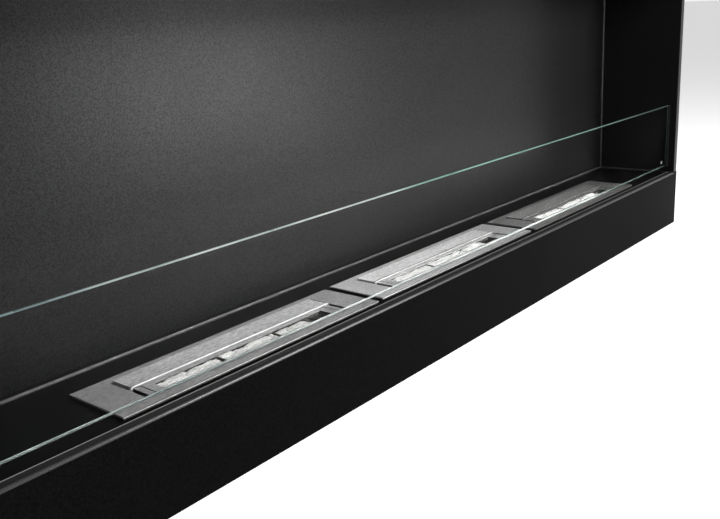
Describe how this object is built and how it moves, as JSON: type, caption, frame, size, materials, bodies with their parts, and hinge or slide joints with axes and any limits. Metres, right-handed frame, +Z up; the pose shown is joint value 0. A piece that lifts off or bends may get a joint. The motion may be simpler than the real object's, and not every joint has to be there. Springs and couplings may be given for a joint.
{
  "type": "bioethanol fireplace",
  "caption": "Long, low built-in firebox of dark sheet metal, open in front behind a low glass pane, with slot burners in its floor that slide shut and lift out.",
  "frame": {"origin": "centre of the base's underside", "axes": "+Z up, +X along the fireplace to the right as seen from the front, the open front faces -Y"},
  "size_m": [1.6, 0.19, 0.54],
  "materials": {
    "casing_coating": "fine-textured matt black powder coat on sheet steel",
    "fascia_coating": "fine-textured satin black powder coat",
    "liner_coating": "satin black heat-resistant coat",
    "brushed_stainless": "lengthwise brushed stainless steel",
    "shutter_stainless": "lengthwise brushed stainless steel",
    "stainless_inner": "plain mill-finish stainless sheet",
    "galvanised_sheet": "galvanised sheet",
    "zinc_screw": "bright zinc plate",
    "ceramic_wool": "white ceramic fibre wool",
    "tempered_glass": "clear toughened glass with ground edges"
  },
  "bodies": {
    "firebox_body": {"casing_back": "casing_coating", "casing_right": "casing_coating", "casing_left": "casing_coating", "casing_top": "casing_coating", "base_pan": "casing_coating", "front_fascia": "fascia_coating", "header_strip": "fascia_coating", "hearth_sheet": "liner_coating", "back_wall": "liner_coating", "ceiling_sheet": "liner_coating", "end_wall_right": "liner_coating", "end_wall_left": "liner_coating", "glass_channel_right": "liner_coating", "glass_channel_left": "liner_coating", "glass_channel_screws": "zinc_screw", "casing_screws": "zinc_screw", "floor_support_1": "galvanised_sheet", "floor_support_2": "galvanised_sheet", "floor_support_3": "galvanised_sheet", "floor_support_4": "galvanised_sheet", "liner_bracket_1": "galvanised_sheet", "liner_bracket_2": "galvanised_sheet", "liner_bracket_3": "galvanised_sheet", "liner_bracket_4": "galvanised_sheet"},
    "glass": {"glass_pane": "tempered_glass"},
    "burner_1": {"burner_tank_1": "brushed_stainless", "burner_plate_1": "brushed_stainless", "wool_retainer_1": "stainless_inner", "filler_well_1": "stainless_inner", "ceramic_wool_1": "ceramic_wool"},
    "shutter_1": {"shutter_1": "shutter_stainless"},
    "burner_2": {"burner_tank_2": "brushed_stainless", "burner_plate_2": "brushed_stainless", "wool_retainer_2": "stainless_inner", "filler_well_2": "stainless_inner", "ceramic_wool_2": "ceramic_wool"},
    "shutter_2": {"shutter_2": "shutter_stainless"},
    "burner_3": {"burner_tank_3": "brushed_stainless", "burner_plate_3": "brushed_stainless", "wool_retainer_3": "stainless_inner", "filler_well_3": "stainless_inner", "ceramic_wool_3": "ceramic_wool"},
    "shutter_3": {"shutter_3": "shutter_stainless"}
  },
  "joints": [
    {"name": "glass_lift", "type": "slide", "parent": "firebox_body", "child": "glass", "axis": [0, 0, 1], "range_m": [0, 0.14]},
    {"name": "burner_1_lift", "type": "slide", "parent": "firebox_body", "child": "burner_1", "axis": [0, 0, 1], "range_m": [0, 0.12]},
    {"name": "shutter_1_slide", "type": "slide", "parent": "burner_1", "child": "shutter_1", "axis": [0, -1, 0], "range_m": [0, 0.0285]},
    {"name": "burner_2_lift", "type": "slide", "parent": "firebox_body", "child": "burner_2", "axis": [0, 0, 1], "range_m": [0, 0.12]},
    {"name": "shutter_2_slide", "type": "slide", "parent": "burner_2", "child": "shutter_2", "axis": [0, -1, 0], "range_m": [0, 0.0285]},
    {"name": "burner_3_lift", "type": "slide", "parent": "firebox_body", "child": "burner_3", "axis": [0, 0, 1], "range_m": [0, 0.12]},
    {"name": "shutter_3_slide", "type": "slide", "parent": "burner_3", "child": "shutter_3", "axis": [0, -1, 0], "range_m": [0, 0.0285]}
  ]
}
